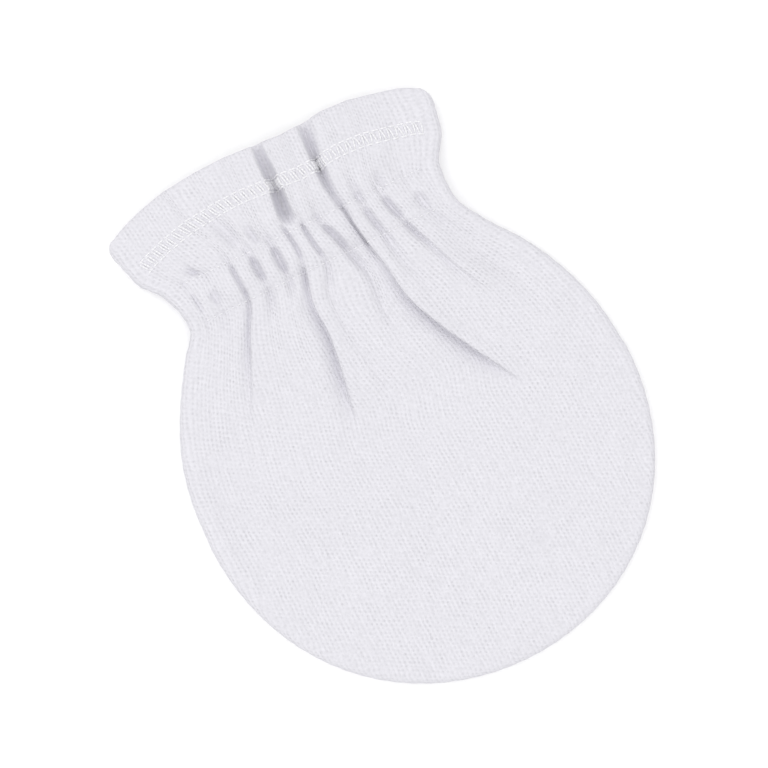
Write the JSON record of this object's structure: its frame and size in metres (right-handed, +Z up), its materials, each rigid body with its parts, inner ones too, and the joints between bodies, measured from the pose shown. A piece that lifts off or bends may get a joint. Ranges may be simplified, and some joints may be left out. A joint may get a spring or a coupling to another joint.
{
  "type": "baby mitten",
  "caption": "Newborn's no-scratch mitten in white cotton jersey, laid flat: round pouch, elastic-gathered wrist and flared, hemmed cuff.",
  "frame": {"origin": "middle of the flat mitten's box in plan, on the surface that it lies on", "axes": "+Y along the mitten from the pouch's tip to the cuff, +X to the right seen from above, +Z up out of the surface"},
  "size_m": [0.0834, 0.105, 0.0082],
  "materials": {
    "cotton": "white cotton interlock jersey, matt, with a fine knit of upright wales",
    "elastic_tape": "white knitted elastic tape, matt"
  },
  "bodies": {
    "root": {"front_panel": "cotton", "back_panel": "cotton", "front_hem": "cotton", "back_hem": "cotton", "side_seam": "cotton", "wrist_elastic": "elastic_tape"}
  },
  "joints": []
}
